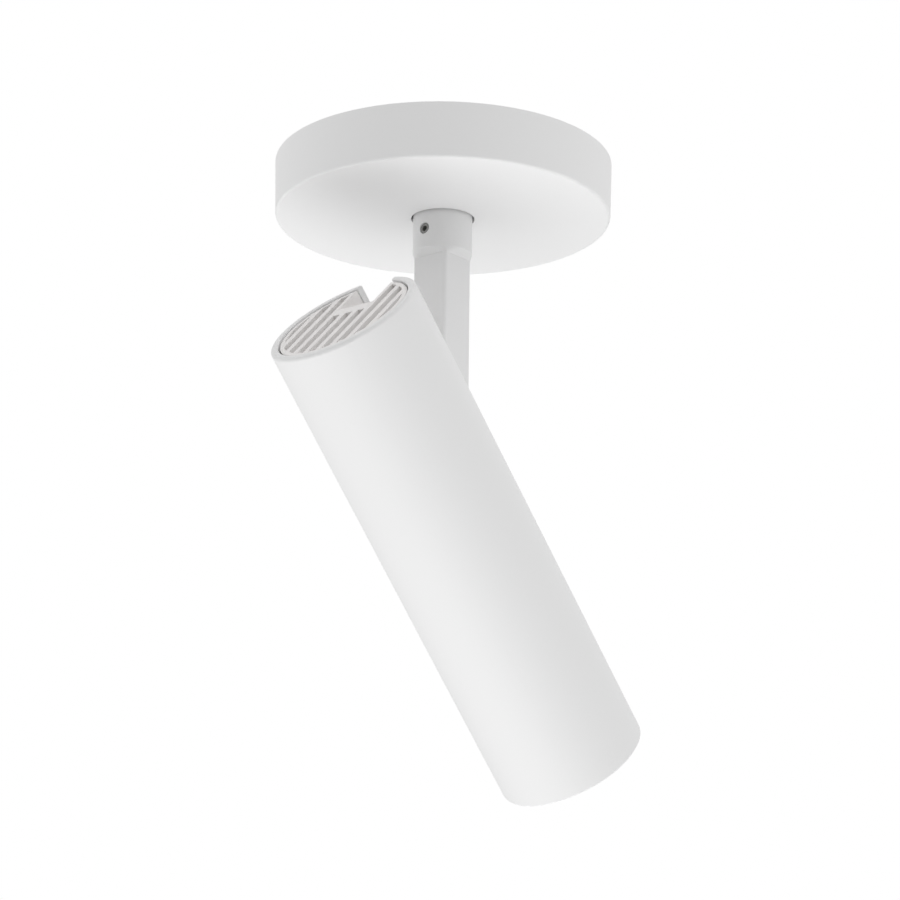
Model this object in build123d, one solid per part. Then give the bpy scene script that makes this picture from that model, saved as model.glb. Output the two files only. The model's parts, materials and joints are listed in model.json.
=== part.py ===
from build123d import *
import os
from math import sqrt

os.makedirs("parts", exist_ok=True)

# Surface mounted ceiling spotlight: a slotted tube with a finned rear body, hinged on a stem that folds into
# the slot and turns under a round ceiling canopy.
#
# Millimetres, +Z up. The origin is the centre of the ceiling face, so everything hangs below z = 0. The head
# tilts in the XZ plane about a pin along Y: its rear leans towards -X, and its light leaves towards +X and down.

# ---------------------------------------------------------------- driving sizes

# canopy
canopy_diameter = 120.0
canopy_height = 20.0
canopy_draft = 0.5              # how much the radius shrinks towards the lower face
canopy_wall = 1.5
canopy_edge_radius = 1.0
canopy_hole_gap = 0.8           # open ring round the stem

# mounting plate
plate_thickness = 1.5
plate_edge_gap = 1.2            # to the inside of the canopy
screw_slot_spacing = 80.0
screw_slot_length = 14.0
screw_slot_width = 5.0
cable_hole_radius = 6.0
cable_hole_edge = 13.8          # from the plate's edge to the hole's centre
grommet_lip = 1.6               # over the hole's edge

# leaf springs that hold the canopy
clip_count = 3
clip_thickness = 0.8
clip_width = 9.0
clip_foot_length = 11.0
clip_contact_depth = 9.0
clip_tail = 5.0
clip_gap = 0.25                 # to the canopy's wall
rivet_radius = 1.6

# bridge under the plate
bracket_thickness = 2.0
bracket_width = 22.0
bracket_length = 40.0
bracket_drop = 5.5              # from the plate to the bridge's upper face
bracket_foot = 10.0
bracket_screw_radius = 2.0

# spigot that the stem turns on
spigot_thread_radius = 5.0
spigot_radius = 7.0
spigot_flange_radius = 9.0
spigot_flange = 1.5
spigot_length = 20.5            # below the flange
spigot_bore_radius = 3.5
spigot_nut_height = 2.6
lock_washer_thickness = 0.5
swivel_washer_thickness = 1.0
groove_depth = 1.4
groove_width = 3.4
stop_rib_width = 1.2
friction_ring_depth = 5.5       # below the flange
friction_ring_thickness = 1.3
running_clearance = 0.05        # radial, pins and posts that turn

# driver, terminals
driver_corner_gap = 3.0         # between the driver's outer corners and the canopy's wall
driver_side_gap = 16.5          # between its outer side and the canopy's wall, with room for a clip
driver_bridge_gap = 3.5         # between its inner side and the bridge
driver_height = 12.5
driver_wall = 1.6
driver_ear = 7.0
driver_screw_radius = 1.5
terminal_length = 30.0
terminal_width = 15.0
terminal_height = 11.0
terminal_grommet_gap = 2.9
terminal_poles = 3
terminal_screw_radius = 2.0
earth_screw_radius = 2.0
earth_washer_side = 10.0
earth_clip_gap = 4.8
earth_angle = 220.0

# stem
stem_diameter = 21.0
stem_ramp_bottom = 35.5         # below the ceiling, where the square bar begins
stem_ramp_rise = 2.1            # up from there to the round collar
stem_ramp_tip = 4.0             # degrees of the collar's edge that each side of the bar widens to
bar_width = 14.8
bar_corner_radius = 1.4
lead_bore_radius = 3.5
lead_exit_radius = 3.0
grub_screw_depth = 26.4         # below the ceiling
grub_screw_radius = 2.05
grub_point_radius = 1.0
grub_socket = 2.0               # across flats
grub_socket_depth = 1.8
grub_recess = 0.3

# hinge
pivot_drop = 101.2              # below the ceiling
pivot_radius = 2.5
pivot_offset = 16.7             # from the head's axis
tilt_at_rest = 45.0             # the photographed pose, from hanging straight down
washer_recess = 0.5
friction_washer_radius = 6.3
fit_gap = 0.3                   # between the bar and each side of its channel
fold_gap = 0.5                  # between the folded bar and the channel's floor
knuckle_gap = 1.0               # between the stem's round end and the slot's end
bolt_head_radius = 3.8
bolt_head_height = 1.4
disc_spring_height = 0.7
pivot_wall = 3.3                # heat sink wall that the bolt clamps, each side of the channel
pivot_nut_flats = 7.0
pivot_nut_height = 2.0
pocket_gap = 0.25

# head
head_diameter = 54.6
head_length = 186.0
rear_to_pivot = 59.0
tube_wall = 2.3
tube_lip_wall = 2.8             # thicker rear lip that the heat sink seats against
tube_lip_length = 20.0
tube_rear_radius = 1.2
tube_front_radius = 0.8
tube_inner_edge = 0.3
slot_corner_radius = 2.0

# heat sink
sink_recess = 0.5               # behind the tube's rear edge
sink_joint_gap = 0.65           # dark line round the rear body
sink_length = 87.5
sink_edge_radius = 0.4
channel_floor_border = 4.6      # solid land between the channel and the fins
channel_side_border = 1.4
fin_gap = 3.15
fin_pitch = 5.42
fin_gap_count = 9
fin_depth = 24.0
fin_ring_width = 1.6
seat_gap = 0.05                 # pushed-together pieces of the head

# light source and optics
board_radius = 14.0
board_thickness = 1.6
emitter_radius = 7.0
emitter_thickness = 0.5
holder_radius = 21.0
holder_height = 5.0
holder_window_radius = 9.0
holder_screw_reach = 17.5
holder_screw_radius = 1.25
reflector_throat_radius = 8.0
reflector_mouth_radius = 22.2
reflector_length = 30.0
reflector_wall = 1.0
flange_thickness = 1.0
gasket_thickness = 1.0
gasket_width = 2.2
lens_thickness = 2.0
baffle_rear_wall = 3.2
baffle_front_wall = 1.4
baffle_step_depth = 0.7
baffle_steps = 8
ring_height = 2.4
ring_wall = 2.0
ring_recess = 1.5               # behind the tube's front edge

# ---------------------------------------------------------------- places worked out from the sizes

canopy_radius = canopy_diameter / 2
canopy_low_radius = canopy_radius - canopy_draft
canopy_inside = canopy_low_radius - canopy_wall
stem_radius = stem_diameter / 2
stem_hole_radius = stem_radius + canopy_hole_gap

plate_under = -plate_thickness
plate_radius = canopy_inside - plate_edge_gap
cable_hole_reach = plate_radius - cable_hole_edge
clip_start = plate_radius - clip_foot_length
earth_reach = clip_start - earth_clip_gap - earth_washer_side / 2

driver_inner_side = bracket_width / 2 + driver_bridge_gap
driver_outer_side = canopy_inside - driver_side_gap
driver_width = driver_outer_side - driver_inner_side
driver_reach = (driver_outer_side + driver_inner_side) / 2
driver_length = 2 * sqrt((canopy_inside - driver_corner_gap) ** 2 - driver_outer_side ** 2)

grommet_radius = cable_hole_radius + grommet_lip
terminal_reach = cable_hole_reach - grommet_radius - terminal_grommet_gap - terminal_width / 2

bridge_top = plate_under - bracket_drop
bridge_under = bridge_top - bracket_thickness
spigot_top = plate_under - 1.5
flange_under = bridge_under - spigot_flange
spigot_end = flange_under - spigot_length
stem_top = flange_under - swivel_washer_thickness
stem_socket_end = spigot_end - 1.0
groove_radius = spigot_radius - groove_depth

bar_half = bar_width / 2
channel_half = bar_half + fit_gap
channel_floor = pivot_offset - bar_half - fold_gap
pivot_height = -pivot_drop

head_radius = head_diameter / 2
tube_bore_radius = head_radius - tube_wall
lip_bore_radius = head_radius - tube_lip_wall
sink_radius = tube_bore_radius - seat_gap
sink_rear_radius = lip_bore_radius - sink_joint_gap
sink_rear = -sink_recess
sink_front = sink_rear - sink_length
slot_end = -(rear_to_pivot + bar_half + knuckle_gap)
fin_ring_radius = sink_rear_radius - fin_ring_width
clamp_face = channel_half + pivot_wall

board_front = sink_front - board_thickness
holder_front = sink_front - holder_height
flange_rear = holder_front - reflector_length
flange_front = flange_rear - flange_thickness
gasket_front = flange_front - gasket_thickness
lens_front = gasket_front - lens_thickness
ring_front = -(head_length - ring_recess)
ring_rear = ring_front + ring_height


# ---------------------------------------------------------------- helpers

def turned(*points):
    """Solid of revolution about Z from a closed outline of (radius, height) points."""
    return revolve(Plane.XZ * make_face(Polyline(*points, close=True)), Axis.Z)


def ring(outer, inner, top, bottom):
    """Flat ring or sleeve about Z between two heights."""
    return turned((inner, top), (outer, top), (outer, bottom), (inner, bottom))


def rod(radius, top, bottom):
    """Round bar about Z between two heights."""
    return Pos(0, 0, bottom) * extrude(Circle(radius), top - bottom)


def block(x_low, x_high, y_low, y_high, z_low, z_high):
    """Rectangular block between six planes."""
    centre = Pos((x_low + x_high) / 2, (y_low + y_high) / 2, z_low)
    return centre * extrude(Rectangle(x_high - x_low, y_high - y_low), z_high - z_low)


def rod_along_y(radius, x, z, y_low, y_high):
    """Round bar along Y through the point (x, z)."""
    turn = Pos(x, y_low, z) * Rot(-90, 0, 0)
    return turn * extrude(Circle(radius), y_high - y_low)


def pan_screw(shank_radius, shank_length):
    """Screw about Z: its head hangs below z = 0 with a cross recess, its shank stands above."""
    head_radius_here = 1.9 * shank_radius
    head_height = 1.1 * shank_radius
    head = rod(head_radius_here, 0, -head_height)
    head = chamfer(head.edges().group_by(Axis.Z)[0], 0.4 * head_height)
    slot = Pos(0, 0, -head_height) * Box(1.1 * head_radius_here, 0.3 * shank_radius, 0.8 * head_height)
    return head + rod(shank_radius, shank_length, 0) - slot - Rot(0, 0, 90) * slot


def place_head(shape):
    """Put a piece of the head, modelled with its rear edge at z = 0 and its slot on +X, on the hinge."""
    hinge = Pos(0, 0, pivot_height) * Rot(0, -tilt_at_rest, 0)
    return hinge * Pos(-pivot_offset, 0, rear_to_pivot) * shape


def save(node, shape):
    export_step(shape, "parts/" + node + ".step")


# ---------------------------------------------------------------- ceiling side

def drum(top_radius, low_radius, depth, edge_radius):
    """Tapered drum below z = 0 with a rounded lower edge."""
    body = turned((0, 0), (top_radius, 0), (low_radius, -depth), (0, -depth))
    return fillet(body.edges().group_by(Axis.Z)[0], edge_radius)


def make_canopy_cover():
    outside = drum(canopy_radius, canopy_low_radius, canopy_height, canopy_edge_radius)
    inner_edge = max(canopy_edge_radius - canopy_wall, 0.3)
    inside = drum(
        canopy_radius - canopy_wall, canopy_inside, canopy_height - canopy_wall, inner_edge
    )
    return outside - inside - rod(stem_hole_radius, 0, -2 * canopy_height)


def clip_places():
    """Clips stand round the plate, the first one behind the driver."""
    step = 360 / clip_count
    return [Rot(0, 0, 90 + step * index) for index in range(clip_count)]


def make_cover_clips():
    wall_at_contact = canopy_radius - canopy_wall - canopy_draft * clip_contact_depth / canopy_height
    contact = wall_at_contact - clip_gap - clip_thickness / 2
    foot_height = plate_under - clip_thickness / 2
    bend = plate_radius - 0.8 * clip_thickness
    path = FilletPolyline(
        (clip_start, foot_height),
        (bend - 2.0, foot_height),
        (contact, -clip_contact_depth),
        (contact - 0.3 * clip_tail, -clip_contact_depth - clip_tail),
        radius=1.2,
    )
    strip = extrude(Plane.XZ * trace(path, clip_thickness), clip_width / 2, both=True)
    rivet_hole = Pos(clip_start + clip_foot_length / 3, 0, 0) * rod(rivet_radius, 0, -2 * canopy_height)
    clip = strip - rivet_hole
    return Compound([place * clip for place in clip_places()])


def make_clip_rivets():
    under = plate_under - clip_thickness
    shank = rod(rivet_radius - seat_gap, -0.2, under)
    head = chamfer(rod(1.8 * rivet_radius, under, under - 0.9).edges().group_by(Axis.Z)[0], 0.5)
    rivet = Pos(clip_start + clip_foot_length / 3, 0, 0) * (shank + head)
    return Compound([place * rivet for place in clip_places()])


def bracket_screw_reach():
    return bracket_length / 2 + bracket_foot / 2


def earth_place():
    return Rot(0, 0, earth_angle) * Pos(earth_reach, 0, 0)


def driver_screw_places():
    reach = driver_length / 2 + driver_ear / 2
    return [Pos(side * reach, driver_reach, 0) for side in (-1, 1)]


def make_mounting_plate():
    plate = rod(plate_radius, 0, plate_under)
    holes = [Pos(side * screw_slot_spacing / 2, 0) * SlotOverall(screw_slot_length, screw_slot_width)
             for side in (-1, 1)]
    holes += [Pos(side * bracket_screw_reach(), 0) * Circle(bracket_screw_radius) for side in (-1, 1)]
    holes += [Pos(0, -cable_hole_reach) * Circle(cable_hole_radius)]
    holes += [place * Pos(clip_start + clip_foot_length / 3, 0) * Circle(rivet_radius)
              for place in clip_places()]
    holes += [place * Circle(driver_screw_radius) for place in driver_screw_places()]
    holes += [earth_place() * Circle(earth_screw_radius)]
    for hole in holes:
        plate -= extrude(hole, 2 * plate_thickness, both=True)
    return plate


def make_swivel_bracket():
    """Folded strip: two feet on the plate and a bridge between them."""
    middle = bracket_thickness / 2
    half = bracket_length / 2 - middle
    foot_end = bracket_length / 2 + bracket_foot
    path = FilletPolyline(
        (-foot_end, plate_under - middle),
        (-half, plate_under - middle),
        (-half, bridge_top - middle),
        (half, bridge_top - middle),
        (half, plate_under - middle),
        (foot_end, plate_under - middle),
        radius=0.75 * bracket_thickness,
    )
    strip = extrude(Plane.XZ * trace(path, bracket_thickness), bracket_width / 2, both=True)
    for side in (-1, 1):
        strip -= Pos(side * bracket_screw_reach(), 0, 0) * rod(bracket_screw_radius, 0, bridge_top)
    return strip - rod(spigot_thread_radius + seat_gap, 0, 2 * bridge_under)


def make_bracket_screws():
    seat = plate_under - bracket_thickness
    screw = Pos(0, 0, seat) * pan_screw(bracket_screw_radius - seat_gap, -seat - 0.2)
    return Compound([Pos(side * bracket_screw_reach(), 0, 0) * screw for side in (-1, 1)])


def make_spigot():
    """Threaded neck, flange and smooth post, with a groove that ends at a stop rib on the +X side."""
    post = turned(
        (spigot_bore_radius, spigot_top),
        (spigot_thread_radius, spigot_top),
        (spigot_thread_radius, bridge_under),
        (spigot_flange_radius, bridge_under),
        (spigot_flange_radius, flange_under),
        (spigot_radius, flange_under),
        (spigot_radius, spigot_end),
        (spigot_bore_radius, spigot_end),
    )
    groove_top = -grub_screw_depth + groove_width / 2
    groove = ring(2 * spigot_radius, groove_radius, groove_top, groove_top - groove_width)
    rib_half = stop_rib_width / 2
    groove -= block(0, 3 * spigot_radius, -rib_half, rib_half, spigot_end, flange_under)
    seat_top = flange_under - friction_ring_depth
    seat_radius = spigot_radius - friction_ring_thickness
    ring_seat = ring(2 * spigot_radius, seat_radius, seat_top, seat_top - friction_ring_thickness)
    return post - groove - ring_seat


def make_friction_ring():
    """Round rubber ring that fills its groove."""
    section = friction_ring_thickness / 2 - seat_gap
    middle = flange_under - friction_ring_depth - friction_ring_thickness / 2
    return Pos(0, 0, middle) * Torus(spigot_radius - friction_ring_thickness / 2, section)


def make_spigot_lock_washer():
    top = bridge_top + lock_washer_thickness
    return ring(1.55 * spigot_thread_radius, spigot_thread_radius + seat_gap, top, bridge_top)


def make_spigot_nut():
    seat = bridge_top + lock_washer_thickness
    hexagon = RegularPolygon(1.4 * spigot_thread_radius, 6, major_radius=False)
    body = extrude(hexagon, spigot_nut_height) - rod(spigot_thread_radius + seat_gap, spigot_nut_height, 0)
    return Pos(0, 0, seat) * body


def make_swivel_washer():
    low = flange_under - swivel_washer_thickness + seat_gap
    return ring(stem_radius - 0.7, spigot_radius + running_clearance, flange_under, low)


def make_driver_housing():
    """Moulded case with a fixing ear at each end, open below for its lid."""
    half_length = driver_length / 2
    case = block(-half_length, half_length, -driver_width / 2, driver_width / 2,
                 plate_under - driver_height, plate_under)
    case = fillet(case.edges().filter_by(Axis.Z), 2.0)
    inner_half = half_length - driver_wall
    inner_width = driver_width / 2 - driver_wall
    case -= block(-inner_half, inner_half, -inner_width, inner_width,
                  plate_under - driver_height, plate_under - driver_wall)
    ear_reach = half_length + driver_ear
    ear_half = 3 * driver_screw_radius
    ear = block(-ear_reach, ear_reach, -ear_half, ear_half, plate_under - driver_wall, plate_under)
    ear = fillet(ear.edges().filter_by(Axis.Z), 0.8 * ear_half)
    for side in (-1, 1):
        ear -= Pos(side * (half_length + driver_ear / 2), 0, 0) * rod(
            driver_screw_radius, 0, -2 * canopy_height
        )
    return Pos(0, driver_reach, 0) * (case + ear)


def make_driver_lid():
    """Lid with a rim that fits inside the case, and a vent grid."""
    seat = plate_under - driver_height
    half_length = driver_length / 2
    lid = block(-half_length, half_length, -driver_width / 2, driver_width / 2, seat - driver_wall, seat)
    lid = fillet(lid.edges().filter_by(Axis.Z), 2.0)
    rim_half = half_length - driver_wall - 0.1
    rim_width = driver_width / 2 - driver_wall - 0.1
    rim = block(-rim_half, rim_half, -rim_width, rim_width, seat, seat + 1.5)
    rim -= block(1.2 - rim_half, rim_half - 1.2, 1.2 - rim_width, rim_width - 1.2, seat, seat + 1.5)
    lid += rim
    vent = Pos(0, 0, seat - driver_wall / 2) * Box(1.6, 0.5 * driver_width, 2 * driver_wall)
    for place in GridLocations(4.0, 1, 5, 1):
        lid -= place * vent
    return Pos(0, driver_reach, 0) * lid


def make_driver_screws():
    seat = plate_under - driver_wall
    screw = Pos(0, 0, seat) * pan_screw(driver_screw_radius - seat_gap, -seat - 0.2)
    return Compound([place * screw for place in driver_screw_places()])


def terminal_pole_places():
    pitch = terminal_length / terminal_poles
    return [Pos(pitch * (index - (terminal_poles - 1) / 2), -terminal_reach, 0)
            for index in range(terminal_poles)]


def make_terminal_block():
    """Moulded block with a wire tunnel and a screw well for each pole."""
    low = plate_under - terminal_height
    half = terminal_width / 2
    body = block(-terminal_length / 2, terminal_length / 2,
                 -terminal_reach - half, -terminal_reach + half, low, plate_under)
    body = chamfer(body.edges().group_by(Axis.Z)[0].filter_by(Axis.X), 0.25 * terminal_height)
    for place in terminal_pole_places():
        body -= place * rod_along_y(1.1 * terminal_screw_radius, 0, low + 0.55 * terminal_height, -half, half)
        body -= place * rod(1.15 * terminal_screw_radius, plate_under - 0.4 * terminal_height, low)
    return body


def make_terminal_screws():
    low = plate_under - terminal_height
    screw = rod(terminal_screw_radius, low + 0.5 * terminal_height, low + 0.8)
    screw -= Pos(0, 0, low + 0.8) * Box(3 * terminal_screw_radius, 0.5, 1.2)
    return Compound([place * screw for place in terminal_pole_places()])


def make_earth_terminal():
    """Screw with a square washer, for the earth lead."""
    washer = extrude(Rectangle(earth_washer_side, earth_washer_side), -1.0)
    washer -= rod(earth_screw_radius, 0, -1.0)
    screw = Pos(0, 0, -1.0) * pan_screw(earth_screw_radius - seat_gap, 1.0 - plate_under - 0.2)
    return earth_place() * Pos(0, 0, plate_under) * (washer + screw)


def grommet_bore():
    return cable_hole_radius - 1.8


def make_cable_grommet():
    """Rubber ring with a waist that holds the plate's edge."""
    waist = cable_hole_radius - seat_gap
    low = plate_under - 2.0
    return Pos(0, -cable_hole_reach, 0) * turned(
        (grommet_bore(), -0.1),
        (waist, -0.1),
        (waist, plate_under - seat_gap),
        (grommet_radius, plate_under - seat_gap),
        (grommet_radius - 0.6, low),
        (grommet_bore(), low),
    )


# ---------------------------------------------------------------- stem

def collar_section():
    """The collar's circle in eight arcs, which pair with the sides and corners of the square bar."""
    arcs = []
    for quarter in range(4):
        start = 90 * quarter - stem_ramp_tip / 2
        arcs.append(CenterArc((0, 0), stem_radius, start, stem_ramp_tip))
        arcs.append(CenterArc((0, 0), stem_radius, start + stem_ramp_tip, 90 - stem_ramp_tip))
    return make_face(arcs)


def make_stem():
    """Round collar, a short change to a square bar and a round hinge end, hollow for the leads."""
    ramp_low = -stem_ramp_bottom
    ramp_top = ramp_low + stem_ramp_rise
    section = RectangleRounded(bar_width, bar_width, bar_corner_radius)
    low_face = (Pos(0, 0, ramp_low) * section).face()
    top_face = (Pos(0, 0, ramp_top) * collar_section()).face()
    collar = rod(stem_radius, stem_top, ramp_top)
    ramps = loft([low_face, top_face], ruled=True)
    bar = Pos(0, 0, pivot_height) * extrude(section, ramp_low - pivot_height)
    knuckle = rod_along_y(bar_half, 0, pivot_height, -bar_half, bar_half)
    knuckle = fillet(knuckle.edges().filter_by(GeomType.CIRCLE), bar_corner_radius)
    body = collar + ramps + bar + knuckle

    # bores: post, leads, their way out towards the head, set screw, hinge bolt and its washers
    body -= rod(spigot_radius + running_clearance, stem_top, stem_socket_end)
    lead_end = pivot_height + bar_half + 2.0
    body -= rod(lead_bore_radius, stem_socket_end, lead_end)
    exit_hole = Pos(0, 0, lead_end + lead_exit_radius) * Rot(0, -90, 0)
    body -= exit_hole * extrude(Circle(lead_exit_radius), bar_width)
    screw_hole = Pos(0, 0, -grub_screw_depth) * Rot(0, -90, 0)
    body -= screw_hole * extrude(Circle(grub_screw_radius), stem_diameter)
    body -= rod_along_y(pivot_radius + running_clearance, 0, pivot_height, -bar_width, bar_width)
    for side in (-1, 1):
        inner = side * (bar_half - washer_recess)
        outer = side * bar_width
        body -= rod_along_y(
            friction_washer_radius + 0.3, 0, pivot_height, min(inner, outer), max(inner, outer)
        )
    return body


def make_stem_grub_screw():
    """Socket set screw along -X: its point stands in the spigot's groove."""
    face = stem_radius - grub_recess
    shoulder = spigot_radius + 0.3
    point = groove_radius + 0.4
    screw = rod(grub_screw_radius - seat_gap, face, shoulder) + rod(grub_point_radius, shoulder, point)
    socket = RegularPolygon(grub_socket / 2, 6, major_radius=False)
    screw -= Pos(0, 0, face - grub_socket_depth) * extrude(socket, 2 * grub_socket_depth)
    return Pos(0, 0, -grub_screw_depth) * Rot(0, -90, 0) * screw


# ---------------------------------------------------------------- head, modelled upright

def stem_channel(floor):
    """Room for the folded stem, from past the rear edge to past the hinge."""
    room = block(floor, 2 * head_radius, -channel_half, channel_half, slot_end, head_length)
    corners = room.edges().filter_by(Axis.X).group_by(Axis.Z)[0]
    return fillet(corners, slot_corner_radius)


def make_head_tube():
    """Tube with a rear lip, rounded ends and the slot that the stem folds into."""
    body = turned(
        (lip_bore_radius, 0),
        (head_radius, 0),
        (head_radius, -head_length),
        (tube_bore_radius, -head_length),
        (tube_bore_radius, -tube_lip_length),
        (lip_bore_radius, -tube_lip_length),
    )
    rear_edges = body.edges().group_by(Axis.Z)[-1].sort_by(SortBy.RADIUS)
    body = fillet(rear_edges[-1], tube_rear_radius)
    front_edges = body.edges().group_by(Axis.Z)[0].sort_by(SortBy.RADIUS)
    body = fillet(front_edges[-1], tube_front_radius)
    inner_edges = body.edges().group_by(Axis.Z)[-1].sort_by(SortBy.RADIUS)
    body = chamfer(inner_edges[0], tube_inner_edge)
    return body - stem_channel(0)


def fin_gaps():
    """Parallel gaps inside the rear ring, kept clear of the channel and its borders."""
    gaps = Sketch()
    for index in range(fin_gap_count):
        across = fin_pitch * (index - (fin_gap_count - 1) / 2)
        gaps += Pos(0, across) * Rectangle(2 * head_radius, fin_gap)
    keep_low = channel_floor - channel_floor_border
    keep_half = channel_half + channel_side_border
    keep_out = Pos(keep_low + head_radius, 0) * Rectangle(2 * head_radius, 2 * keep_half)
    return (gaps & Circle(fin_ring_radius)) - keep_out


def make_heat_sink():
    """Finned rear body: seats behind the tube's lip and carries the hinge and the light source."""
    shoulder = -tube_lip_length - seat_gap
    body = turned(
        (0, sink_rear),
        (sink_rear_radius, sink_rear),
        (sink_rear_radius, shoulder),
        (sink_radius, shoulder),
        (sink_radius, sink_front),
        (0, sink_front),
    )
    body = fillet(body.edges().group_by(Axis.Z)[-1], sink_edge_radius)
    body -= stem_channel(channel_floor)
    body -= Pos(0, 0, sink_rear - fin_depth) * extrude(fin_gaps(), 2 * fin_depth)

    # hinge bolt bore, round pocket for its head, six-sided pocket for its nut
    pivot_z = -rear_to_pivot
    body -= rod_along_y(pivot_radius + seat_gap, pivot_offset, pivot_z, -head_radius, head_radius)
    body -= rod_along_y(bolt_head_radius + pocket_gap, pivot_offset, pivot_z, clamp_face, head_radius)
    nut_pocket = RegularPolygon(pivot_nut_flats / 2 + pocket_gap, 6, major_radius=False)
    body -= Pos(pivot_offset, -clamp_face, pivot_z) * Rot(90, 0, 0) * extrude(nut_pocket, head_radius)

    # way for the leads from the channel to the light source
    lead_x = channel_floor - 2 * lead_exit_radius
    long_bore = Pos(lead_x, 0, 0) * rod(lead_exit_radius, pivot_z, sink_front - 1)
    cross = Pos(lead_x, 0, pivot_z) * Rot(0, 90, 0)
    cross_bore = cross * extrude(Circle(0.9 * lead_exit_radius), pivot_offset)
    body -= long_bore + cross_bore
    for side in (-1, 1):
        body -= Pos(0, side * holder_screw_reach, 0) * rod(holder_screw_radius, sink_front + 6, sink_front - 1)
    return body


def make_pivot_bolt():
    """Shoulder bolt along +Y with a low head, across the channel into its nut."""
    head_seat = clamp_face + disc_spring_height
    nut_end = -clamp_face - pivot_nut_height
    head = rod_along_y(bolt_head_radius, 0, 0, head_seat, head_seat + bolt_head_height)
    shank = rod_along_y(pivot_radius, 0, 0, nut_end - 0.4, head_seat)
    socket = RegularPolygon(0.55 * pivot_radius, 6, major_radius=False)
    depth = 0.8 * bolt_head_height
    socket_place = Pos(0, head_seat + bolt_head_height - depth, 0) * Rot(-90, 0, 0)
    bolt = head + shank - socket_place * extrude(socket, 2 * depth)
    return Pos(pivot_offset, 0, -rear_to_pivot) * bolt


def make_pivot_nut():
    hexagon = RegularPolygon(pivot_nut_flats / 2, 6, major_radius=False) - Circle(pivot_radius + seat_gap)
    nut = Rot(90, 0, 0) * extrude(hexagon, pivot_nut_height)
    return Pos(pivot_offset, -clamp_face, -rear_to_pivot) * nut


def make_disc_spring():
    """Coned washer under the bolt's head."""
    inner = pivot_radius + seat_gap
    outer = bolt_head_radius - 0.1
    sheet = 0.6 * disc_spring_height
    cone = turned(
        (inner, disc_spring_height - sheet),
        (outer, 0),
        (outer, sheet),
        (inner, disc_spring_height),
    )
    return Pos(pivot_offset, clamp_face, -rear_to_pivot) * Rot(-90, 0, 0) * cone


def make_friction_washers():
    """One washer in each side recess of the stem, a running gap from the stem and the heat sink."""
    thickness = washer_recess + fit_gap - 2 * running_clearance
    inner = bar_half - washer_recess + running_clearance
    washer = ring(friction_washer_radius, pivot_radius + running_clearance, thickness, 0)
    right = Pos(pivot_offset, inner, -rear_to_pivot) * Rot(-90, 0, 0) * washer
    left = Pos(pivot_offset, -inner, -rear_to_pivot) * Rot(90, 0, 0) * washer
    return Compound([right, left])


def make_led_board():
    board = rod(board_radius, sink_front, board_front)
    return board - Pos(board_radius, 0, 0) * rod(1.5, sink_front, board_front)


def make_led_emitter():
    return rod(emitter_radius, board_front, board_front - emitter_thickness)


def make_led_holder():
    """Moulded clamp ring with a pocket for the board and a bevelled window."""
    pocket = board_radius + 0.1
    deep = board_front - seat_gap
    holder = turned(
        (pocket, sink_front),
        (holder_radius, sink_front),
        (holder_radius, holder_front + 0.8),
        (holder_radius - 0.8, holder_front),
        (holder_window_radius + 1.5, holder_front),
        (holder_window_radius, deep),
        (pocket, deep),
    )
    for side in (-1, 1):
        holder -= Pos(0, side * holder_screw_reach, 0) * rod(
            holder_screw_radius + 0.1, sink_front, holder_front
        )
    return holder


def make_holder_screws():
    screw = Pos(0, 0, holder_front) * pan_screw(holder_screw_radius - seat_gap, holder_height + 5)
    return Compound([Pos(0, side * holder_screw_reach, 0) * screw for side in (-1, 1)])


def make_reflector():
    """Spun bowl between the holder and the lens, with a flat flange at its mouth."""
    mouth = reflector_mouth_radius
    outside = tube_bore_radius - 0.3
    rear = holder_front
    bulge = 0.62

    def curve(radial_shift):
        start = (reflector_throat_radius + radial_shift, rear)
        end = (mouth + radial_shift, flange_rear)
        middle_radius = reflector_throat_radius + bulge * (mouth - reflector_throat_radius)
        return ThreePointArc(start, (middle_radius + radial_shift, (rear + flange_rear) / 2), end)

    inner = curve(0)
    outer = curve(reflector_wall)
    outline = [
        inner,
        Line(inner @ 1, (mouth, flange_front)),
        Line((mouth, flange_front), (outside, flange_front)),
        Line((outside, flange_front), (outside, flange_rear)),
        Line((outside, flange_rear), outer @ 1),
        outer,
        Line(outer @ 0, inner @ 0),
    ]
    return revolve(Plane.XZ * make_face(outline), Axis.Z)


def make_lens_gasket():
    outside = tube_bore_radius - 0.3
    return ring(outside, outside - gasket_width, flange_front, gasket_front)


def make_lens_glass():
    lens = rod(tube_bore_radius - 0.3, gasket_front, lens_front)
    return chamfer(lens.edges().filter_by(GeomType.CIRCLE), 0.3)


def make_front_baffle():
    """Sleeve whose bore opens towards the front in small steps that hide the glare."""
    outside = tube_bore_radius - seat_gap
    length = lens_front - ring_rear
    pitch = length / baffle_steps
    widen = (baffle_rear_wall - baffle_front_wall) / baffle_steps
    outline = [(outside, ring_rear), (outside, lens_front)]
    for step in range(baffle_steps):
        radius = outside - baffle_rear_wall + widen * step
        height = lens_front - pitch * step
        outline.append((radius, height))
        outline.append((radius + baffle_step_depth, height - pitch))
    return turned(*outline)


def make_retaining_ring():
    """Ring screwed into the tube's front, with two notches for a key."""
    outside = tube_bore_radius - seat_gap
    body = ring(outside, outside - ring_wall, ring_rear, ring_front)
    notch = block(-1.5, 1.5, -head_radius, head_radius, ring_front, ring_front + 0.5 * ring_height)
    notch &= ring(outside, outside - ring_wall, ring_rear, ring_front)
    return body - notch


# ---------------------------------------------------------------- write every piece

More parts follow.
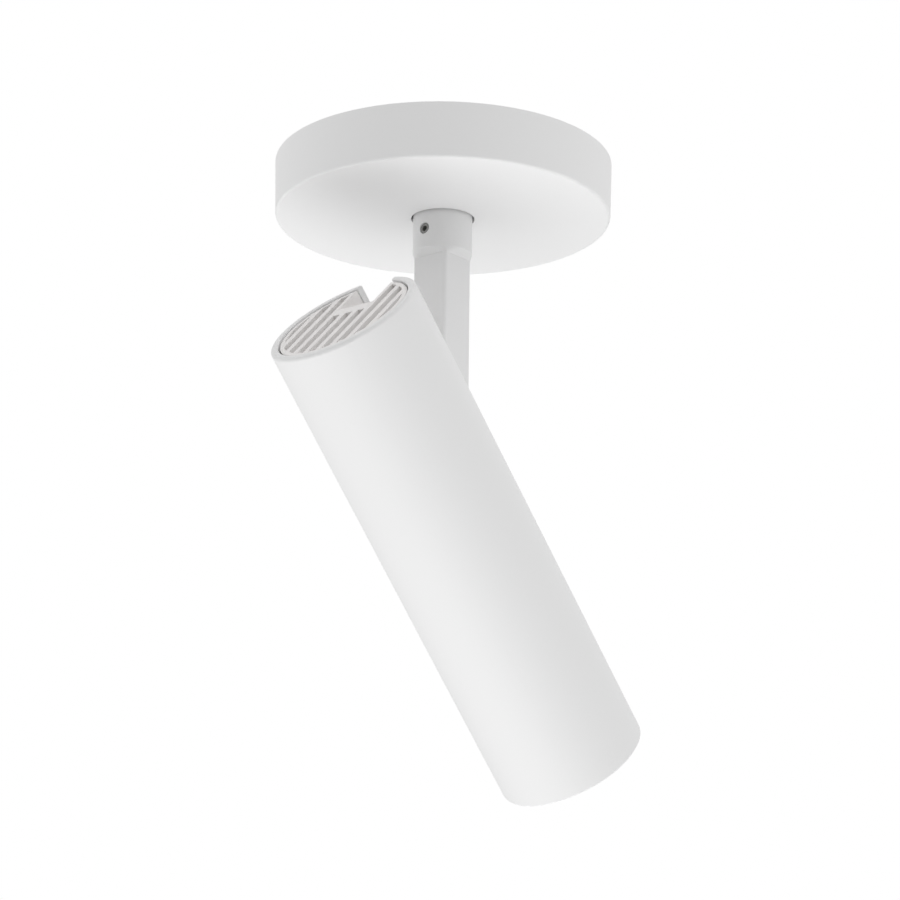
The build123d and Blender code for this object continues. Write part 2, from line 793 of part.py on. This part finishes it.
save("canopy_cover", make_canopy_cover())
save("mounting_plate", make_mounting_plate())
save("cover_clips", make_cover_clips())
save("clip_rivets", make_clip_rivets())
save("swivel_bracket", make_swivel_bracket())
save("bracket_screws", make_bracket_screws())
save("spigot", make_spigot())
save("spigot_lock_washer", make_spigot_lock_washer())
save("spigot_nut", make_spigot_nut())
save("swivel_washer", make_swivel_washer())
save("friction_ring", make_friction_ring())
save("driver_housing", make_driver_housing())
save("driver_lid", make_driver_lid())
save("driver_screws", make_driver_screws())
save("terminal_block", make_terminal_block())
save("terminal_screws", make_terminal_screws())
save("earth_terminal", make_earth_terminal())
save("cable_grommet", make_cable_grommet())

save("stem", make_stem())
save("stem_grub_screw", make_stem_grub_screw())

save("head_tube", place_head(make_head_tube()))
save("heat_sink", place_head(make_heat_sink()))
save("pivot_bolt", place_head(make_pivot_bolt()))
save("pivot_nut", place_head(make_pivot_nut()))
save("disc_spring", place_head(make_disc_spring()))
save("friction_washers", place_head(make_friction_washers()))
save("led_board", place_head(make_led_board()))
save("led_emitter", place_head(make_led_emitter()))
save("led_holder", place_head(make_led_holder()))
save("holder_screws", place_head(make_holder_screws()))
save("reflector", place_head(make_reflector()))
save("lens_gasket", place_head(make_lens_gasket()))
save("lens_glass", place_head(make_lens_glass()))
save("front_baffle", place_head(make_front_baffle()))
save("retaining_ring", place_head(make_retaining_ring()))
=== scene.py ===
"""Looks of the surface mounted ceiling spotlight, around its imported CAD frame.

Metres, +Z up, the origin is the centre of the ceiling face. Every piece rides on a CAD body.
"""

import json
import math

import bmesh
import bpy
from mathutils import Matrix, Vector


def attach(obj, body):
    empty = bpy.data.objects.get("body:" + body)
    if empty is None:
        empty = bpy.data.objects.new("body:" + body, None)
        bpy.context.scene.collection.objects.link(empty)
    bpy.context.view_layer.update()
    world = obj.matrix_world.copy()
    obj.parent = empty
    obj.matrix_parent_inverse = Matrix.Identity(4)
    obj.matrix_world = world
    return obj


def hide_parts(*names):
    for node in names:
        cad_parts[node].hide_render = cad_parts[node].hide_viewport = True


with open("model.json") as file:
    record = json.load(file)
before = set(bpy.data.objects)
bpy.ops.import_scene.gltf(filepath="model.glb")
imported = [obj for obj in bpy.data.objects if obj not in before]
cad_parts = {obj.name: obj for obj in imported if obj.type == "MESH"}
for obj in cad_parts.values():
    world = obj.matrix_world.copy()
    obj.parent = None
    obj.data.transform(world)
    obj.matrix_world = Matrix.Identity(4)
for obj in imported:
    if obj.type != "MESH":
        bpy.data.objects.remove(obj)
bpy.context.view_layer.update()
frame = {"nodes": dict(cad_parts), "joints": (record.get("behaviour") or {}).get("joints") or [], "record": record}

MM = 0.001


def new_object(name, data):
    """Object of this data, put into the scene."""
    thing = bpy.data.objects.new(name, data)
    bpy.context.scene.collection.objects.link(thing)
    return thing


# ---------------------------------------------------------------- camera

CAMERA_DISTANCE = 1005.9 * MM       # from the stem's axis, measured level
CAMERA_DROP = 398.4 * MM            # below the ceiling
CAMERA_AZIMUTH = math.radians(38.67)    # of the view, from the tilt plane
CAMERA_YAW = 0.0036                 # radians, as the next two
CAMERA_PITCH = 0.2835               # upwards
CAMERA_ROLL = 0.0129
CAMERA_LENS = 120.57                # millimetres, as the next
CAMERA_SENSOR = 36.0


def make_camera():
    """Camera that stands where the photograph was taken from."""
    data = bpy.data.cameras.new("camera")
    data.lens = CAMERA_LENS
    data.sensor_width = CAMERA_SENSOR
    camera = new_object("camera", data)
    bpy.context.scene.camera = camera
    place = Vector((
        -CAMERA_DISTANCE * math.cos(CAMERA_AZIMUTH),
        -CAMERA_DISTANCE * math.sin(CAMERA_AZIMUTH),
        -CAMERA_DROP,
    ))
    turn = Matrix.Rotation(CAMERA_AZIMUTH - math.pi / 2 - CAMERA_YAW, 4, "Z")
    lift = Matrix.Rotation(math.pi / 2 + CAMERA_PITCH, 4, "X")
    roll = Matrix.Rotation(CAMERA_ROLL, 4, "Z")
    camera.matrix_world = Matrix.Translation(place) @ turn @ lift @ roll


# ---------------------------------------------------------------- node helpers

def add(tree, kind, **settings):
    """New shader node; settings are its properties, or its inputs where their name starts with in_."""
    node = tree.nodes.new(kind)
    for name, value in settings.items():
        if name.startswith("in_"):
            socket = name[3:].replace("_", " ")
            node.inputs[int(socket) if socket.isdigit() else socket].default_value = value
        else:
            setattr(node, name, value)
    return node


def join(tree, source, target):
    """Link from an output to an input."""
    tree.links.new(source, target)


def mix_shaders(tree, share, first, second):
    """Output of a mix of two shaders; at share 0 it is the first."""
    mix = add(tree, "ShaderNodeMixShader")
    join(tree, share, mix.inputs[0])
    join(tree, first, mix.inputs[1])
    join(tree, second, mix.inputs[2])
    return mix.outputs[0]


# ---------------------------------------------------------------- light and floor

VIEW_RIGHT = Vector((math.sin(CAMERA_AZIMUTH), -math.cos(CAMERA_AZIMUTH), 0))
VIEW_AHEAD = Vector((math.cos(CAMERA_AZIMUTH), math.sin(CAMERA_AZIMUTH), 0))
UP = Vector((0, 0, 1))
PURE_WHITE = (1, 1, 1, 1)
LIGHT_FOCUS = 4.0                   # power of the cosine that a light fades with
LIGHTS = [                          # towards the view's right, ahead and up; strength
    (0, 0, -1, 2.7),
    (-1, 0, 0, 0.8),
    (1, 0, 0, 0.36),
    (0, 1, 0, 0.34),
    (1, -1, -1, 0.25),
    (-1, 0, -1, 0.1),
    (0, -1, 1, 0.18),
    (-1, -1, 1, 0.6),
    (1, -1, 1, 1.1),
    (-1, 1, 1, 0.87),
    (1, 1, 1, 0.98),
]


def from_view(right, ahead, up):
    """Direction of length 1, given as seen from the camera."""
    return (VIEW_RIGHT * right + VIEW_AHEAD * ahead + UP * up).normalized()


def add_lobe(tree, direction, towards, strength):
    """Strength of one wide light that is brightest in the direction towards."""
    dot = add(tree, "ShaderNodeVectorMath", operation="DOT_PRODUCT", in_1=towards)
    join(tree, direction, dot.inputs[0])
    front = add(tree, "ShaderNodeMath", operation="MAXIMUM", in_1=0.0)
    join(tree, dot.outputs["Value"], front.inputs[0])
    lobe = add(tree, "ShaderNodeMath", operation="POWER", in_1=LIGHT_FOCUS)
    join(tree, front.outputs[0], lobe.inputs[0])
    share = add(tree, "ShaderNodeMath", operation="MULTIPLY", in_1=strength)
    join(tree, lobe.outputs[0], share.inputs[0])
    return share.outputs[0]


def make_light():
    """White background for the camera, and soft light from a few wide directions for everything else."""
    world = bpy.data.worlds.new("studio")
    bpy.context.scene.world = world
    world.use_nodes = True
    tree = world.node_tree
    tree.nodes.clear()
    direction = add(tree, "ShaderNodeTexCoord").outputs["Generated"]
    lobes = [add_lobe(tree, direction, from_view(*seen), strength) for *seen, strength in LIGHTS]
    total = lobes[0]
    for lobe in lobes[1:]:
        both = add(tree, "ShaderNodeMath", operation="ADD")
        join(tree, total, both.inputs[0])
        join(tree, lobe, both.inputs[1])
        total = both.outputs[0]
    studio = add(tree, "ShaderNodeBackground", in_Color=PURE_WHITE)
    join(tree, total, studio.inputs["Strength"])
    backdrop = add(tree, "ShaderNodeBackground", in_Color=PURE_WHITE, in_Strength=1.0)
    camera_sees = add(tree, "ShaderNodeLightPath").outputs["Is Camera Ray"]
    both = mix_shaders(tree, camera_sees, studio.outputs[0], backdrop.outputs[0])
    join(tree, both, add(tree, "ShaderNodeOutputWorld").inputs["Surface"])
    bpy.context.scene.view_settings.view_transform = "Standard"


FILL_AIM = (0.07, 0.0, -0.185)      # in the head's mouth, at rest
FILL_FROM = (0.15, -1, -0.3)        # towards the view's right, ahead and up
FILL_DISTANCE = 0.7
FILL_WIDTH = math.radians(15)       # of its cone
FILL_SOFTNESS = 0.1                 # radius of the lamp
FILL_POWER = 1.5


def make_fill():
    """Weak light from the camera's side that fades out along the head, from its mouth to its rear."""
    data = bpy.data.lights.new("fill", "SPOT")
    data.energy = FILL_POWER
    data.spot_size = FILL_WIDTH
    data.spot_blend = 1.0
    data.shadow_soft_size = FILL_SOFTNESS
    fill = new_object("fill", data)
    away = from_view(*FILL_FROM)
    fill.location = Vector(FILL_AIM) + away * FILL_DISTANCE
    fill.rotation_euler = away.to_track_quat("Z", "Y").to_euler()


FLOOR_DROP = 1.3                    # below the ceiling
FLOOR_HALF = 60.0
FADE_START = 2.0                    # from the middle of the floor, where it starts to turn white
FADE_END = 9.0
FLOOR_LOOK = dict(colour=(0.86, 0.86, 0.85), roughness=0.7, grain=40 * MM, spread=0.01)


def floor_material():
    """Pale surface that turns white with distance."""
    material = surface("floor", **FLOOR_LOOK)
    tree = material.node_tree
    near = tree.nodes["Principled BSDF"].outputs[0]
    far = add(tree, "ShaderNodeEmission", in_Color=PURE_WHITE, in_Strength=1.0)
    reach = add(tree, "ShaderNodeVectorMath", operation="LENGTH")
    join(tree, add(tree, "ShaderNodeTexCoord").outputs["Object"], reach.inputs[0])
    fade = add(tree, "ShaderNodeMapRange", interpolation_type="SMOOTHSTEP", in_From_Min=FADE_START,
               in_From_Max=FADE_END)
    join(tree, reach.outputs["Value"], fade.inputs["Value"])
    both = mix_shaders(tree, fade.outputs[0], near, far.outputs[0])
    join(tree, both, tree.nodes["Material Output"].inputs["Surface"])
    return material


def make_floor():
    """Floor without a horizon, which neither shades nor lights the lamp."""
    mesh = bpy.data.meshes.new("floor")
    corners = [(-1, -1), (1, -1), (1, 1), (-1, 1)]
    mesh.from_pydata([(x * FLOOR_HALF, y * FLOOR_HALF, -FLOOR_DROP) for x, y in corners], [], [(0, 1, 2, 3)])
    mesh.materials.append(floor_material())
    floor = new_object("floor", mesh)
    floor.visible_diffuse = False
    floor.visible_glossy = False
    floor.visible_shadow = False


# ---------------------------------------------------------------- materials

NOISE_DETAIL = 3.0
NOISE_RANGE = (0.3, 0.7)            # where most values of the noise lie
CELL_RANGE = (0.0, 1.0)
LEAST_ROUGHNESS = 0.02


def surface(name, colour, roughness, metallic=0.0, grain=1 * MM, spread=0.02, rough_spread=0.05,
            bump=0.0, stretch=(1, 1, 1), cells=False, **shader):
    """Principled surface whose colour, roughness and bump vary with a noise, or with cells like crystals."""
    material = bpy.data.materials.new(name)
    material.use_nodes = True
    tree = material.node_tree
    tree.nodes.clear()
    principled = add(tree, "ShaderNodeBsdfPrincipled", in_Metallic=metallic)
    for socket, value in shader.items():
        principled.inputs[socket.replace("_", " ")].default_value = value
    place = add(tree, "ShaderNodeTexCoord").outputs["Object"]
    mapping = add(tree, "ShaderNodeMapping", in_Scale=stretch)
    join(tree, place, mapping.inputs["Vector"])
    noise = add(tree, "ShaderNodeTexNoise", in_Scale=1 / grain, in_Detail=NOISE_DETAIL)
    join(tree, mapping.outputs[0], noise.inputs["Vector"])
    shade = noise.outputs["Fac"]
    if cells:
        crystals = add(tree, "ShaderNodeTexVoronoi", in_Scale=1 / grain)
        join(tree, mapping.outputs[0], crystals.inputs["Vector"])
        shade = crystals.outputs["Color"]
    ramp = add(tree, "ShaderNodeValToRGB")
    darkest, lightest = ramp.color_ramp.elements
    darkest.position, lightest.position = CELL_RANGE if cells else NOISE_RANGE
    darkest.color = [c * (1 - spread) for c in colour] + [1]
    lightest.color = [min(c * (1 + spread), 1) for c in colour] + [1]
    join(tree, shade, ramp.inputs[0])
    join(tree, ramp.outputs[0], principled.inputs["Base Color"])
    gloss = add(tree, "ShaderNodeMapRange")
    gloss.inputs["To Min"].default_value = max(roughness - rough_spread, LEAST_ROUGHNESS)
    gloss.inputs["To Max"].default_value = min(roughness + rough_spread, 1.0)
    join(tree, shade, gloss.inputs["Value"])
    join(tree, gloss.outputs[0], principled.inputs["Roughness"])
    if bump:
        relief = add(tree, "ShaderNodeBump", in_Strength=1.0, in_Distance=bump)
        join(tree, noise.outputs["Fac"], relief.inputs["Height"])
        join(tree, relief.outputs[0], principled.inputs["Normal"])
    join(tree, principled.outputs[0], add(tree, "ShaderNodeOutputMaterial").inputs["Surface"])
    return material


WHITE = (0.9, 0.9, 0.9)
# The fins' paint: a warm tint, and lighter than the white of the rest, which is painted light that lifts the shade
# in the gaps between the fins.
WARM_TINT_AND_PAINTED_LIGHT = (0.945, 0.925, 0.915)
ZINC = (0.62, 0.63, 0.65)

LOOKS = {                           # by material slot, and zinc_small for small plated pieces
    "white_paint": dict(colour=WHITE, roughness=0.55, grain=0.7 * MM, spread=0.004, bump=0.004 * MM),
    # fin paint, lighter than white_paint: painted light in the gaps between the fins
    "white_paint_fins": dict(colour=WARM_TINT_AND_PAINTED_LIGHT, roughness=0.6, grain=0.5 * MM, spread=0.006,
                             bump=0.008 * MM),
    "black_steel": dict(colour=(0.3, 0.3, 0.29), roughness=0.45, metallic=0.3, grain=0.3 * MM, spread=0.15,
                        bump=0.004 * MM),
    "zinc_steel": dict(colour=ZINC, roughness=0.36, metallic=1.0, grain=2.5 * MM, spread=0.07,
                       rough_spread=0.1, cells=True),
    "zinc_small": dict(colour=ZINC, roughness=0.32, metallic=1.0, grain=0.4 * MM, spread=0.05,
                       rough_spread=0.08, bump=0.002 * MM),
    "spring_steel": dict(colour=(0.5, 0.51, 0.53), roughness=0.3, metallic=1.0, grain=0.4 * MM,
                         bump=0.002 * MM, stretch=(1, 8, 8)),
    "brass": dict(colour=(0.75, 0.56, 0.26), roughness=0.25, metallic=1.0, grain=0.3 * MM,
                  bump=0.002 * MM, stretch=(1, 1, 6)),
    "white_nylon": dict(colour=(0.78, 0.78, 0.74), roughness=0.45, Subsurface_Weight=0.2,
                        Subsurface_Scale=1 * MM),
    "clear_nylon": dict(colour=(0.75, 0.75, 0.7), roughness=0.4, Subsurface_Weight=0.4,
                        Subsurface_Scale=2 * MM),
    "white_plastic": dict(colour=(0.78, 0.78, 0.76), roughness=0.5, grain=0.3 * MM, bump=0.01 * MM),
    "black_rubber": dict(colour=(0.03, 0.03, 0.03), roughness=0.8, grain=0.5 * MM, spread=0.2,
                         bump=0.01 * MM),
    "board_aluminium": dict(colour=(0.82, 0.83, 0.82), roughness=0.35),
    "phosphor": dict(colour=(0.9, 0.62, 0.1), roughness=0.3, grain=0.4 * MM, spread=0.08, bump=0.01 * MM),
    "bright_aluminium": dict(colour=(0.88, 0.89, 0.9), roughness=0.16, metallic=1.0, grain=2 * MM),
    "clear_glass": dict(colour=(1, 1, 1), roughness=0.02, grain=5 * MM, spread=0.0, rough_spread=0.01,
                        Transmission_Weight=1.0, IOR=1.5),
    "black_plastic": dict(colour=(0.06, 0.06, 0.062), roughness=0.38, grain=0.4 * MM, spread=0.1,
                          bump=0.01 * MM),
    "black_ring": dict(colour=(0.055, 0.055, 0.058), roughness=0.38, metallic=0.3, grain=0.3 * MM,
                       spread=0.1, bump=0.004 * MM),
}

SMALL_ZINC_NODES = ("clip_rivets", "spigot_nut", "pivot_nut")      # plated without visible crystals


def dress_nodes():
    """Gives every CAD node the look of its slot, or of small plated pieces."""
    for part in frame["record"]["subparts"]:
        node = part["node"]
        look = "zinc_small" if node in SMALL_ZINC_NODES else part["material_slot"]
        for slot in frame["nodes"][node].material_slots:
            slot.material = materials[look]


# ---------------------------------------------------------------- head details

HEAD_TILT = math.radians(45.0)      # at rest, from hanging straight down
HEAD_AXIS_OFFSET = 16.7 * MM        # from the hinge to the head's axis
HEAD_REAR = 59.0 * MM               # from the hinge to the head's rear edge

BOWL_REAR = -93.0 * MM              # along the head, from its rear edge
BOWL_FRONT = -123.0 * MM
BOWL_THROAT = 8.0 * MM
BOWL_MOUTH = 22.2 * MM
BOWL_BULGE = 0.48                   # 0 is a straight cone
BOWL_WALL = 1.0 * MM
FLANGE_RADIUS = 24.7 * MM
FLANGE_THICKNESS = 1.0 * MM
FACETS_AROUND = 30
FACETS_ALONG = 8
FACET_STEPS = 4                     # mesh steps across a facet
FACET_DEPTH = 0.35 * MM

BAFFLE_REAR = -127.0 * MM
BAFFLE_FRONT = -182.1 * MM
BAFFLE_OUTSIDE = 24.95 * MM
BAFFLE_REAR_WALL = 3.2 * MM
BAFFLE_FRONT_WALL = 1.4 * MM
BAFFLE_STEPS = 8
BAFFLE_STEP_DEPTH = 0.7 * MM
GROOVES_PER_STEP = 4
GROOVE_DEPTH = 0.3 * MM
GROOVE_POINTS = 6                   # mesh steps along a groove's width
BAFFLE_STEPS_AROUND = 128           # mesh steps

DAM_REAR = -89.6 * MM               # face of the light source's board
DAM_RADIUS = 7.6 * MM
DAM_HALF_WIDTH = 0.6 * MM
DAM_HEIGHT = 0.7 * MM
DAM_STEPS = 10                      # mesh steps over the bead
DAM_STEPS_AROUND = 96

SHARP_ANGLE = math.radians(35)      # from here on, an edge is shaded sharp
WELD = 0.0005 * MM                  # points nearer than this are one


def head_place():
    """From the upright head with its rear edge at the origin to where it hangs at rest."""
    joint = next(j for j in frame["joints"] if j["name"] == "head_tilt")
    hinge = Matrix.Translation(joint["pos_m"]) @ Matrix.Rotation(-HEAD_TILT, 4, "Y")
    return hinge @ Matrix.Translation((-HEAD_AXIS_OFFSET, 0, HEAD_REAR))


def turned(outline, around, place):
    """Closed surface turned about Z.

    outline(turn) gives its closed ring of (radius, height) points at a share of the turn.
    """
    rings = [outline(step / around) for step in range(around)]
    count = len(rings[0])
    build = bmesh.new()
    verts = []
    for step, ring in enumerate(rings):
        angle = math.tau * step / around
        for radius, height in ring:
            point = Vector((radius * math.cos(angle), radius * math.sin(angle), height))
            verts.append(build.verts.new(place @ point))
    for step in range(around):
        here = step * count
        there = (step + 1) % around * count
        for first in range(count):
            second = (first + 1) % count
            build.faces.new([verts[i] for i in (here + first, there + first, there + second, here + second)])
    bmesh.ops.remove_doubles(build, verts=build.verts, dist=WELD)
    bare = [edge for edge in build.edges if not edge.link_faces]
    bmesh.ops.delete(build, geom=bare, context="EDGES")
    bmesh.ops.recalc_face_normals(build, faces=build.faces)
    for face in build.faces:
        face.smooth = True
    for edge in build.edges:
        edge.smooth = edge.calc_face_angle(0) < SHARP_ANGLE
    return build


def make_piece(name, builds, slot, body, node=None, look=None):
    """One piece of the scene from one or more surfaces, which may stand for a CAD node."""
    mesh = bpy.data.meshes.new(name)
    whole = bmesh.new()
    for build in builds:
        build.to_mesh(mesh)
        build.free()
        whole.from_mesh(mesh)
    whole.to_mesh(mesh)
    whole.free()
    mesh.materials.append(materials[look or slot])
    piece = new_object(name, mesh)
    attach(piece, body)
    if node:
        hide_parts(node)


def bowl_radius(share):
    """Inner radius of the bowl at a share of its length from the throat."""
    return BOWL_THROAT + (BOWL_MOUTH - BOWL_THROAT) * share * (1 + BOWL_BULGE * (1 - share))


def pillow(share):
    """0 at the borders of a facet or groove and 1 in its middle."""
    return 4 * share * (1 - share)


def bowl_outline(turn):
    """Inner side from throat to mouth with its facets, flange, plain outer side."""
    across = turn * FACETS_AROUND % 1
    steps = FACETS_ALONG * FACET_STEPS
    outline = []
    for step in range(steps + 1):
        share = step / steps
        hollow = FACET_DEPTH * pillow(across) * pillow(share * FACETS_ALONG % 1)
        outline.append((bowl_radius(share) + hollow, BOWL_REAR + (BOWL_FRONT - BOWL_REAR) * share))
    flange_front = BOWL_FRONT - FLANGE_THICKNESS
    outline += [(BOWL_MOUTH, flange_front), (FLANGE_RADIUS, flange_front), (FLANGE_RADIUS, BOWL_FRONT)]
    for step in range(FACETS_ALONG + 1):
        share = 1 - step / FACETS_ALONG
        outline.append((bowl_radius(share) + BOWL_WALL, BOWL_REAR + (BOWL_FRONT - BOWL_REAR) * share))
    return outline


def baffle_outline(turn):
    """Bore that widens in steps towards the front, each step cut with fine rounded ribs."""
    outline = [(BAFFLE_OUTSIDE, BAFFLE_FRONT), (BAFFLE_OUTSIDE, BAFFLE_REAR)]
    pitch = (BAFFLE_FRONT - BAFFLE_REAR) / BAFFLE_STEPS
    widen = (BAFFLE_REAR_WALL - BAFFLE_FRONT_WALL) / BAFFLE_STEPS
    points = GROOVES_PER_STEP * GROOVE_POINTS
    for step in range(BAFFLE_STEPS):
        for point in range(points + 1):
            share = point / points
            crest = BAFFLE_OUTSIDE - BAFFLE_REAR_WALL + widen * step + BAFFLE_STEP_DEPTH * share
            groove = GROOVE_DEPTH * (1 - pillow(share * GROOVES_PER_STEP % 1) ** 0.5)
            outline.append((crest + groove, BAFFLE_REAR + pitch * (step + share)))
    return outline


def dam_outline(turn):
    """Half round bead on the board."""
    angles = [math.pi * step / DAM_STEPS for step in range(DAM_STEPS + 1)]
    return [(DAM_RADIUS + DAM_HALF_WIDTH * math.cos(a), DAM_REAR - DAM_HEIGHT * math.sin(a)) for a in angles]


def make_reflector():
    """Spun bowl whose inner side is peened in rings of shallow facets."""
    bowl = turned(bowl_outline, FACETS_AROUND * FACET_STEPS, head_place())
    make_piece("reflector_bowl", [bowl], "bright_aluminium", "head", "reflector")


def make_baffle():
    """Ribbed sleeve in front of the lens."""
    sleeve = turned(baffle_outline, BAFFLE_STEPS_AROUND, head_place())
    make_piece("baffle_ribbed", [sleeve], "black_plastic", "head", "front_baffle")


def make_emitter_dam():
    """White silicone bead round the phosphor."""
    bead = turned(dam_outline, DAM_STEPS_AROUND, head_place())
    make_piece("emitter_dam", [bead], "white_nylon", "head")


# ---------------------------------------------------------------- screws

THREAD_POINTS = 6                   # mesh steps along one pitch
SCREW_STEPS = 48                    # mesh steps round a screw
THREAD_SHARE = 0.54                 # thread depth in pitches
TIP = 0.3 * MM                      # length of the chamfer at the end of a shank
TIP_DEPTH = TIP / 2
RIM_CHAMFER = 0.15                  # on a screw's top, as a share of its radius
NEAR_ZERO = 0.01                    # least divisor in the outline of a recess


def solid_boxes(node, place):
    """Low and high corner of each separate solid of a CAD node, along the axes of place."""
    build = bmesh.new()
    build.from_mesh(frame["nodes"][node].data)
    bmesh.ops.remove_doubles(build, verts=build.verts, dist=WELD)
    bmesh.ops.transform(build, matrix=place.inverted(), verts=build.verts)
    waiting = set(build.verts)
    boxes = []
    while waiting:
        reached = [waiting.pop()]
        for vert in reached:
            for edge in vert.link_edges:
                other = edge.other_vert(vert)
                if other in waiting:
                    waiting.remove(other)
                    reached.append(other)
        low = [min(vert.co[axis] for vert in reached) for axis in range(3)]
        high = [max(vert.co[axis] for vert in reached) for axis in range(3)]
        boxes.append((low, high))
    build.free()
    return sorted(boxes)


def hexagon(half_width):
    """Radius of a six-sided socket of this half width, at a share of the turn."""
    side = 1 / 6

    def radius(turn):
        return half_width / math.cos(math.tau * (turn % side - side / 2))

    return radius


def cross(length, width):
    """Radius of a cross recess with arms of this half length and half width."""
    quarter = math.pi / 2

    def radius(turn):
        angle = math.tau * turn % quarter
        angle = min(angle, quarter - angle)
        return min(length / math.cos(angle), width / max(math.sin(angle), NEAR_ZERO))

    return radius


def slit(length, width):
    """Radius of a straight slot of this half length and half width."""
    def radius(turn):
        along = abs(math.cos(math.tau * turn))
        across = abs(math.sin(math.tau * turn))
        return min(length / max(along, NEAR_ZERO), width / max(across, NEAR_ZERO))

    return radius


def screw_outline(size, shank, recess, depth, pitch, head=0.0, threaded=None, point=None):
    """Outline of a screw that stands on its head: recess, head, plain shank, thread and end.

    size is its low and high corner, shank its radius, head the height of its head, threaded the length
    of its thread, and point the radius and length of its dog point.
    """
    low, high = (corner[2] for corner in size)
    rim = (size[1][0] - size[0][0]) / 2
    if not head:
        rim = shank
    end = high - (point[1] if point else 0)
    start = max(low + head, end - threaded) if threaded else low + head
    edge = RIM_CHAMFER * rim
    root = shank - THREAD_SHARE * pitch
    length = end - TIP - start
    count = math.ceil(length / pitch * THREAD_POINTS)

    def outline(turn):
        hole = recess(turn)
        points = [(0, low + depth), (hole, low + depth), (hole, low), (rim - edge, low), (rim, low + edge)]
        if head:
            points += [(rim, low + head), (shank, low + head)]
        for step in range(count + 1):
            height = start + length * step / count
            height = max(height, low + edge)
            crest = 1 - abs(2 * ((height / pitch - turn) % 1) - 1)
            points.append((shank - THREAD_SHARE * pitch * (1 - crest), height))
        points.append((root - TIP_DEPTH, end))
        if point:
            points += [(point[0], end), (point[0], high)]
        points.append((0, high))
        return points

    return outline


def thread_screws(node, place, slot, body, **form):
    """Threaded screws in place of the plain ones of a CAD node, each where its solid stands."""
    builds = []
    for low, high in solid_boxes(node, place):
        middle = Matrix.Translation(((low[0] + high[0]) / 2, (low[1] + high[1]) / 2, 0))
        builds.append(turned(screw_outline((low, high), **form), SCREW_STEPS, place @ middle))
    look = "zinc_small" if slot == "zinc_steel" else slot
    make_piece(node + "_threaded", builds, slot, body, node, look)


def make_ceiling_screws():
    """Screws of the bracket, the driver and the terminals."""
    level = Matrix()
    thread_screws("bracket_screws", level, "zinc_steel", "ceiling_mount", shank=1.95 * MM, head=2.1 * MM,
                  recess=cross(length=1.9 * MM, width=0.35 * MM), depth=1.3 * MM, pitch=0.7 * MM)
    thread_screws("driver_screws", level, "zinc_steel", "ceiling_mount", shank=1.45 * MM, head=1.6 * MM,
                  recess=cross(length=1.4 * MM, width=0.3 * MM), depth=1.0 * MM, pitch=0.5 * MM)
    thread_screws("terminal_screws", level, "brass", "ceiling_mount", shank=2.0 * MM,
                  recess=slit(length=1.6 * MM, width=0.3 * MM), depth=0.8 * MM, pitch=0.7 * MM)


def make_grub_screw():
    """Socket set screw in the stem's collar."""
    inwards = Matrix.Rotation(math.pi / 2, 4, "Y")
    thread_screws("stem_grub_screw", inwards, "black_steel", "stem", shank=2.0 * MM,
                  recess=hexagon(1.0 * MM), depth=1.8 * MM, pitch=0.7 * MM, point=(1.0 * MM, 1.3 * MM))


def make_head_screws():
    """Screws of the light source's holder, and the hinge bolt."""
    along_head = head_place()
    across_head = head_place() @ Matrix.Rotation(math.pi / 2, 4, "X")
    thread_screws("holder_screws", along_head, "zinc_steel", "head", shank=1.2 * MM, head=1.3 * MM,
                  recess=cross(length=1.1 * MM, width=0.25 * MM), depth=0.8 * MM, pitch=0.45 * MM)
    thread_screws("pivot_bolt", across_head, "zinc_steel", "head", shank=2.5 * MM, head=1.4 * MM,
                  recess=hexagon(1.375 * MM), depth=1.1 * MM, pitch=0.8 * MM, threaded=6.0 * MM)


# ---------------------------------------------------------------- scene

materials = {slot: surface(slot + "_look", **look) for slot, look in LOOKS.items()}
dress_nodes()
make_reflector()
make_baffle()
make_emitter_dam()
make_ceiling_screws()
make_grub_screw()
make_head_screws()
make_camera()
make_light()
make_fill()
make_floor()
